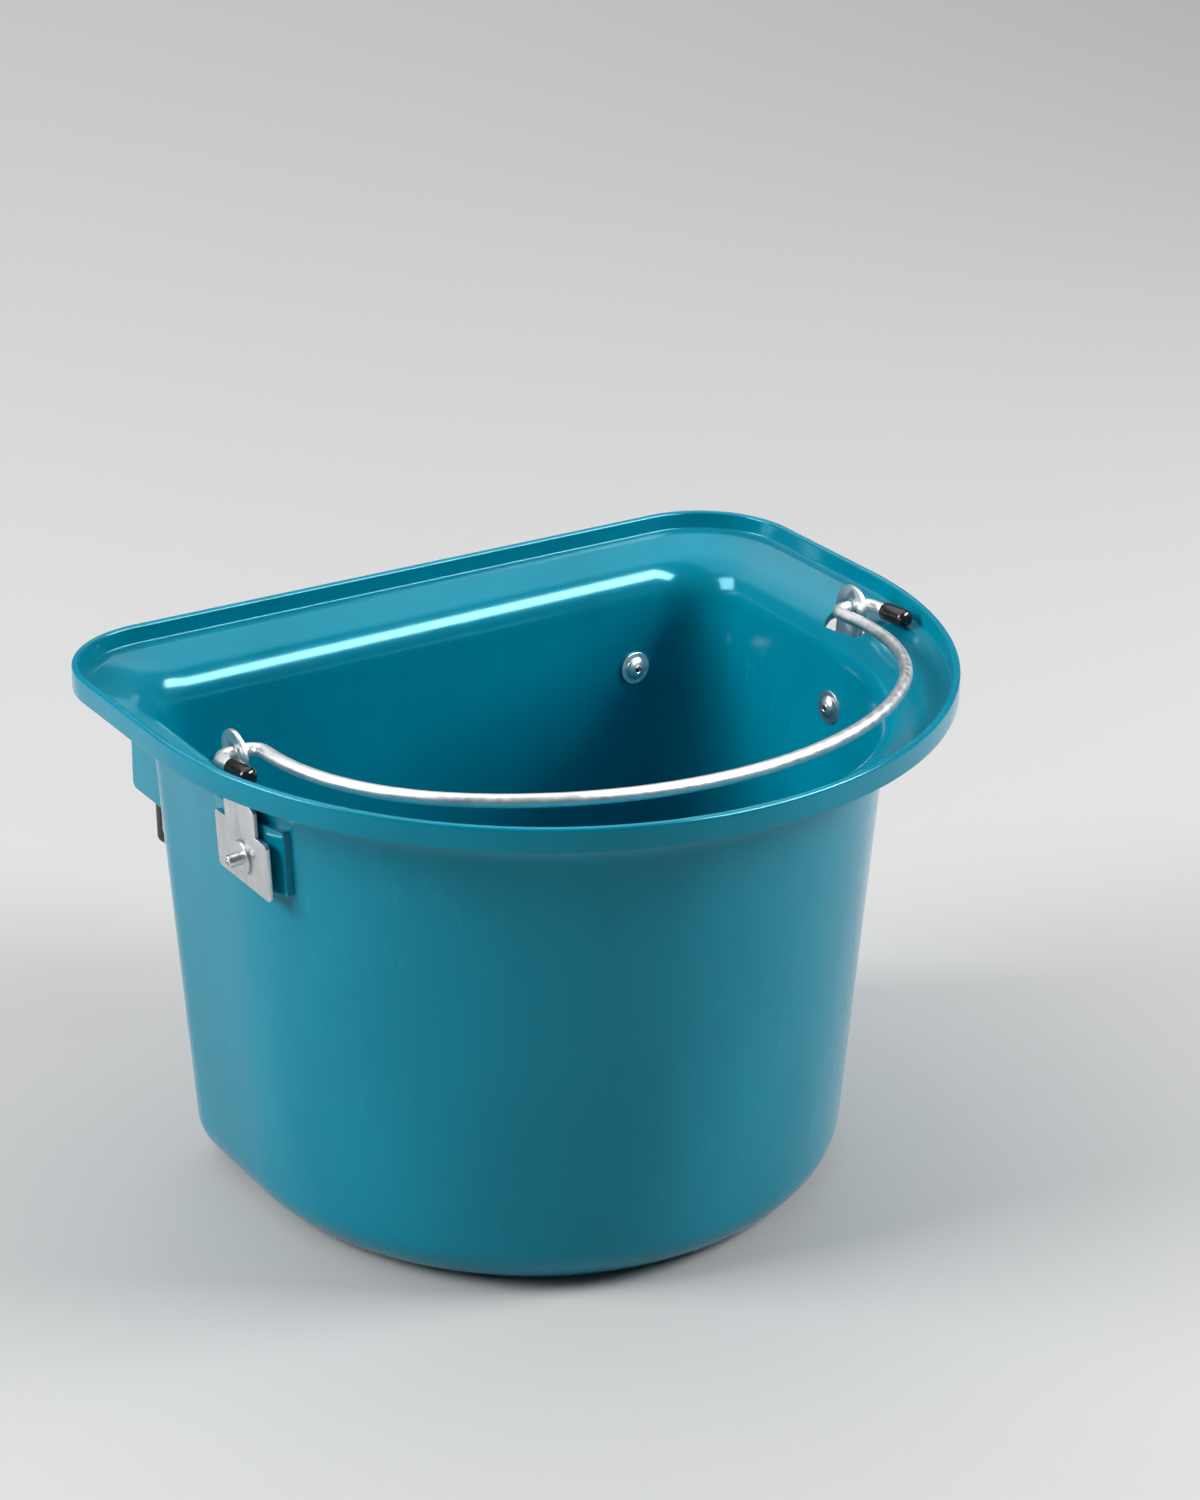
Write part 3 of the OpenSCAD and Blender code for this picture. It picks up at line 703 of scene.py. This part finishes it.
sheets = dict(earEdge=0.3, hookEdge=0.45)
for name in ("left", "right"):
    plate = bevelled(shape(name + "_ear_plate", name + "EarPlate"), sheets["earEdge"], 2, 30)
    dress(smooth(plate, 30), sheetZinc, "zinc_sheet", "bucket", name + "_ear_plate")
    strap = bevelled(shape(name + "_hook", name + "Hook"), sheets["hookEdge"], 2, 30)
    dress(smooth(strap, 30), sheetZinc, "zinc_sheet", "bucket", name + "_hook")
print("ear plates and hooks ready")

fastener = dict(washer=16, thick=1.2, shank=5.8, head=11.2, headHeight=2.6, tail=6, bore=3, round=0.3)


def washerPart(name, matrix, at):
    f = fastener
    r, low, high, e = f["washer"] / 2, f["shank"] / 2, f["thick"], f["round"]
    outline = [(at, low + 0.15), (at, r - e)] + arc(at + e, r - e, e, 180, 90, 4)[1:]
    outline += arc(at + high - e, r - e, e, 90, 0, 4) + [(at + high, low + 0.25)]
    outline += [(at + high - 0.2, low + 0.02), (at + 0.15, low + 0.02), (at, low + 0.15)]
    return smooth(placed(turnedPart(name, outline), matrix), 40)


def rivetPart(name, matrix, stack):
    # domed head inside the wall, hollow tail outside
    f = fastener
    inner = -b["wall"] - f["thick"]
    end = stack + f["thick"] + f["tail"]
    r, bore, rim = f["shank"] / 2 - 0.02, f["bore"] / 2, f["head"] / 2
    mouth = (inner - f["headHeight"] + 0.25, bore)
    outline = [mouth, (inner - f["headHeight"] + 0.06, bore + 0.2)]
    for a in (68, 60, 50, 40, 30, 20, 10, 3):
        outline.append((inner - f["headHeight"] * 0.98 * sin(radians(a)), rim * cos(radians(a))))
    outline += [(inner - 0.05, rim - 0.15), (inner, rim - 0.4), (inner, r), (end - 0.6, r)]
    outline += arc(end - 0.5, r - 0.5, 0.5, 90, 0, 4)[1:] + [(end, bore + 0.2), (end - 0.3, bore), mouth]
    return smooth(placed(turnedPart(name, outline), matrix), 40)


def pinPart(name, matrix, stack):
    f = fastener
    start = -b["wall"]
    end = stack + f["thick"] + f["tail"] - 1.6
    r = f["bore"] / 2 - 0.03
    outline = [(start + 0.35, 0), (start + 0.1, 0.5), (start, r - 0.55), (start + 0.25, r - 0.4)]
    outline += [(end - 3, r - 0.4), (end - 2.2, r), (end - 0.3, r), (end, r - 0.35), (end - 0.2, 0)]
    return smooth(placed(turnedPart(name, outline, 32), matrix), 40)


for side, name in ((-1, "left"), (1, "right")):
    for place, matrix, stack in (("ear", onEar(side), earPad + ear["sheet"]),
                                 ("hook", onHook(side) @ alongY, hook["padProud"] + hook["sheet"])):
        node = name + "_" + place
        piece = name + place.capitalize()
        dress(washerPart(piece + "InnerWasher", matrix, -b["wall"] - fastener["thick"]), washerZinc,
              "washer_steel", "bucket", node + "_inner_washer")
        dress(washerPart(piece + "OuterWasher", matrix, stack), washerZinc,
              "washer_steel", "bucket", node + "_outer_washer")
        dress(rivetPart(piece + "Rivet", matrix, stack), alloy, "rivet_alloy", "bucket", node + "_rivet")
        dress(pinPart(piece + "RivetPin", matrix, stack), pinSteel, "rivet_pin_steel", "bucket",
              node + "_rivet_mandrel")
print("fasteners ready")

sleeve = dict(floor=2.4, below=15, roundEnd=2.6, mouth=0.6)


def sleevePart(name, side):
    h, s = hook, sleeve
    top = bendZ + h["topOverBend"] - hookRivetZ
    mid = h["padProud"] + h["sheet"] + h["gap"] + h["sleeve"] / 2
    low, high, r = top - h["leg"] - s["floor"], top - s["below"], h["sleeve"] / 2
    outline = [(low, 0)] + arc(low + s["roundEnd"], r - s["roundEnd"], s["roundEnd"], 180, 90, 7)
    outline += arc(high - s["mouth"], r - s["mouth"], s["mouth"], 90, 0, 4) + [(high, 0)]
    obj = placed(turnedPart(name, outline), Matrix.Rotation(radians(-90), 4, "Y"))
    cut(obj, box("strapTool", (-h["strap"] / 2, -h["sheet"] / 2, low + s["floor"]),
                 (h["strap"] / 2, h["sheet"] / 2, high + 5)))
    return smooth(placed(obj, onHook(side) @ Matrix.Translation((0, mid * mm, 0))), 40)


for side, name in ((-1, "left"), (1, "right")):
    dress(sleevePart(name + "HookSleeve", side), sleeveBlack, "black_sleeve", "bucket", name + "_hook_sleeve")
print("sleeves ready")

studio = dict(floor=(0.46, 0.46, 0.46, 1), mottle=0.985, floorSize=(14, 9, 1), glow=0.16,
              sky=(0.80, 0.81, 0.82, 1), skyStrength=0.09)


def stagePlane():
    # wide floor that fills the whole view, glowing faintly far behind the bucket
    bpy.ops.mesh.primitive_plane_add(size=1, location=(0, 0, 0))
    obj = named("studioFloor")
    bpy.ops.object.mode_set(mode="EDIT")
    bpy.ops.mesh.select_all(action="SELECT")
    bpy.ops.transform.resize(value=studio["floorSize"])
    bpy.ops.object.mode_set(mode="OBJECT")
    m, tree, bsdf = newMaterial("paleFloor")
    tone = noise(tree, coords(tree), 3, 3)
    tree.links.new(mixed(tree, tone, studio["floor"], darker(studio["floor"], studio["mottle"])),
                   bsdf.inputs["Base Color"])
    far = newNode(tree, "ShaderNodeSeparateXYZ", {0: coords(tree)}).outputs["Y"]
    tree.links.new(spread(tree, far, 0.2, 2.4, 0, studio["glow"]), bsdf.inputs["Emission Strength"])
    bsdf.inputs["Emission Color"].default_value = (1, 1, 0.99, 1)
    bsdf.inputs["Roughness"].default_value = 0.75
    bsdf.inputs["Specular IOR Level"].default_value = 0.2
    obj.data.materials.append(m)
    return obj


def softLight(name, at, aim, size, power, colour=(1, 1, 1)):
    data = bpy.data.lights.new(name, "AREA")
    data.shape = "RECTANGLE"
    data.size, data.size_y = size
    data.energy = power
    data.color = colour
    lamp = bpy.data.objects.new(name, data)
    bpy.context.collection.objects.link(lamp)
    lamp.location = at
    lamp.rotation_euler = (Vector(aim) - Vector(at)).to_track_quat("-Z", "Y").to_euler()
    return lamp


stagePlane()
world = bpy.data.worlds.new("studioSky")
bpy.context.scene.world = world
world.use_nodes = True
backdrop = world.node_tree.nodes["Background"]
backdrop.inputs["Color"].default_value = studio["sky"]
backdrop.inputs["Strength"].default_value = studio["skyStrength"]
# the strip is only seen in reflections, the right box only lights
strip = softLight("stripBox", (0.9, -0.86, 1.4), (0.02, 0.05, 0.2), (1.5, 0.46), 80)
strip.visible_diffuse = False
rightBox = softLight("rightBox", (1.5, -0.9, 1.2), (0, 0, 0.15), (0.8, 0.8), 44)
rightBox.visible_glossy = False
softLight("leftBox", (-2.1, 0.7, 1.5), (0, 0, 0.15), (1.2, 1.2), 74)
softLight("topBox", (0.0, 1.8, 3.8), (0, 0.6, 0), (6, 5), 150)

lens = dict(yaw=-33.958, rise=24.059, roll=1.2385, distance=1585.4, target=(36.06, 36.5, 189.38), focal=82.65)
yaw, rise = radians(lens["yaw"]), radians(lens["rise"])
back = Vector((sin(yaw) * cos(rise), -cos(yaw) * cos(rise), sin(rise)))
right = Vector((cos(yaw), sin(yaw), 0))
upward = back.cross(right)
view = bpy.data.cameras.new("studioCamera")
view.lens = lens["focal"]
camera = bpy.data.objects.new("studioCamera", view)
bpy.context.collection.objects.link(camera)
turned = Matrix((right, upward, back)).transposed().to_4x4() @ Matrix.Rotation(radians(lens["roll"]), 4, "Z")
camera.matrix_world = Matrix.Translation((Vector(lens["target"]) + back * lens["distance"]) * mm) @ turned
bpy.context.scene.camera = camera
bpy.context.scene.view_settings.view_transform = "Standard"
print("stage and camera ready")
